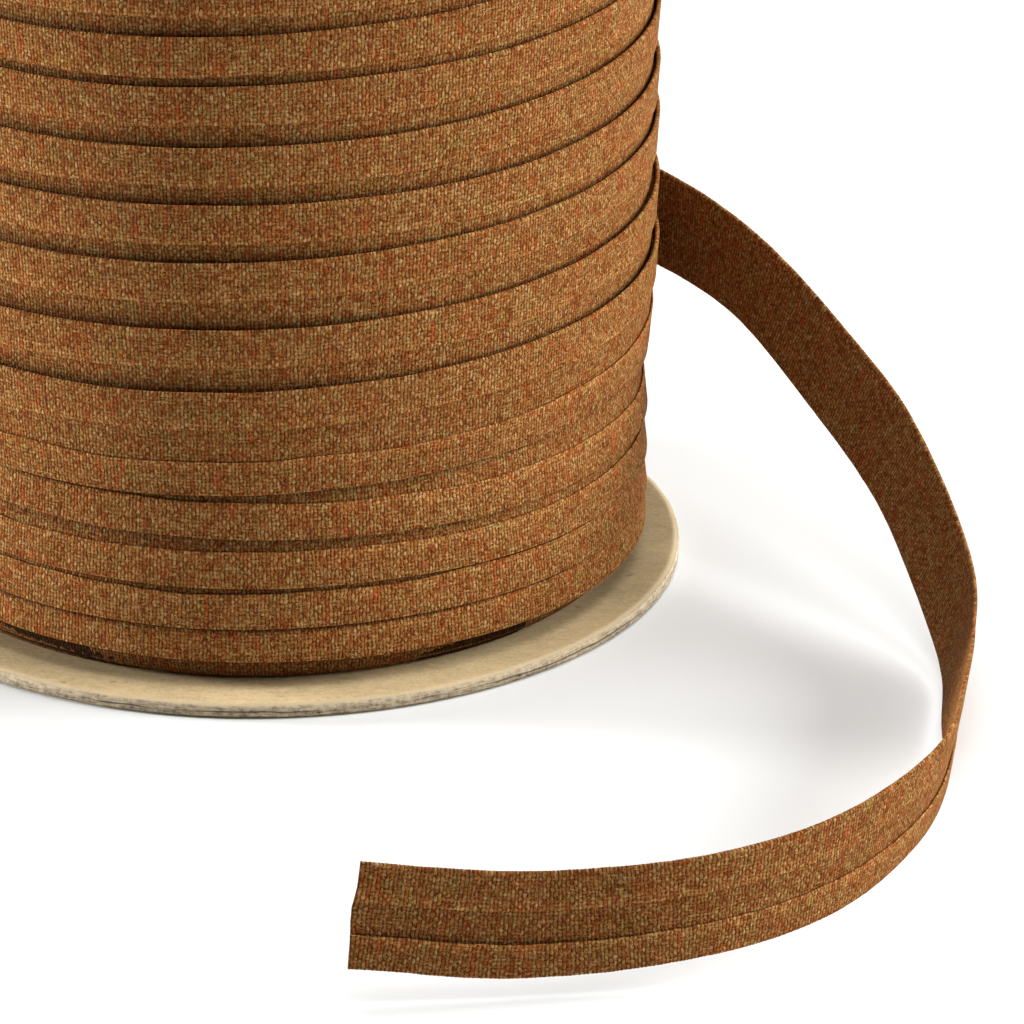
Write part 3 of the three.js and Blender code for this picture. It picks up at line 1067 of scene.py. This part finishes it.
def disc(name, board_radius, low, seed):
    """A board as a body of revolution: up the profile of its rim, with a few flat rings inside it on both
    faces. Near the rim noise round the board moves each point in or out and up or down, and it fades out
    where the round begins and ends."""
    around = np.linspace(0, 2 * np.pi * board_radius, BOARD_SEGMENTS, endpoint=False)
    to_axis = board_radius / MM
    rings_out = [to_axis] + [to_axis - ring for ring in BOARD_RINGS[::-1]]
    rings_in = [to_axis - ring for ring in BOARD_RINGS] + [to_axis]
    inwards = rings_out + [row["in"] for row in BOARD_RIM] + rings_in
    count = len(rings_out)
    ups = [0.0] * count + [row["up"] for row in BOARD_RIM] + [BOARD_RIM[-1]["up"]] * count
    radius = board_radius - np.array(inwards)[:, None] * MM
    height = low + np.array(ups)[:, None] * MM
    at_rim = smooth_step(radius, board_radius - 2.5 * MM, board_radius - 0.3 * MM)
    closed = np.abs(np.sin(around / board_radius / 2))
    rows = range(len(radius))
    rough = np.stack([unevenness(around, RIM_ROUGH["spacing"] * MM, seed + row) * closed for row in rows])
    wide = unevenness(around, RIM_WIDE["spacing"] * MM, seed + 40)[None, :] * closed
    row = np.arange(len(radius))[:, None]
    on_side = (row > count) & (row < len(radius) - count - 1)
    radius = radius + at_rim * (RIM_ROUGH["size"] * rough + RIM_WIDE["size"] * wide - RIM_INSET) * MM
    height = height + at_rim * on_side * RIM_LIFT * MM * np.roll(rough, 1, axis=0)
    return lathe(name, radius, height, BOARD_SEGMENTS)


class TAPE_OT_boards(bpy.types.Operator):
    """Cuts the spool's two chipboard ends"""

    bl_idname = "tape_roll.boards"
    bl_label = "Boards"

    def execute(self, context):
        board = context.scene.tape_board
        for seed, name, node, low in (
            (80, "bottom_board", "flange_bottom", BOARD_LOW.z),
            (90, "top_board", "flange_top", TOP_BOARD_LOW.z),
        ):
            piece = disc(name, board.radius, low, seed)
            finish_piece(piece, board_material(name.replace("_", " "), board, low), "board", node)
        return {"FINISHED"}


class TAPE_PT_panel(bpy.types.Panel):
    """Lists the steps and the sizes of the roll"""

    bl_idname = "TAPE_PT_panel"
    bl_label = "Tape roll"
    bl_space_type = "VIEW_3D"
    bl_region_type = "UI"
    bl_category = "Tape roll"

    def draw(self, context):
        for step in STEPS:
            self.layout.operator(step.bl_idname)
        for name, group in GROUPS.items():
            box = self.layout.box()
            box.label(text=group.__doc__)
            for key in group.__annotations__:
                box.prop(getattr(context.scene, name), key)


GROUPS = {
    "tape_tape": TapeSettings,
    "tape_winding": WindingSettings,
    "tape_board": BoardSettings,
    "tape_stage": StageSettings,
}
STEPS = (TAPE_OT_stage, TAPE_OT_loose_end, TAPE_OT_winding, TAPE_OT_boards)


def register():
    for name, group in GROUPS.items():
        bpy.utils.register_class(group)
        setattr(bpy.types.Scene, name, bpy.props.PointerProperty(type=group))
    for step in STEPS:
        bpy.utils.register_class(step)
    bpy.utils.register_class(TAPE_PT_panel)


def unregister():
    bpy.utils.unregister_class(TAPE_PT_panel)
    for step in reversed(STEPS):
        bpy.utils.unregister_class(step)
    for name, group in reversed(GROUPS.items()):
        delattr(bpy.types.Scene, name)
        bpy.utils.unregister_class(group)


def main():
    """Registers the steps, sets the stage and makes every piece."""
    register()
    bpy.ops.tape_roll.stage()
    bpy.ops.tape_roll.loose_end()
    bpy.ops.tape_roll.winding()
    bpy.ops.tape_roll.boards()


if __name__ == "__main__":
    main()
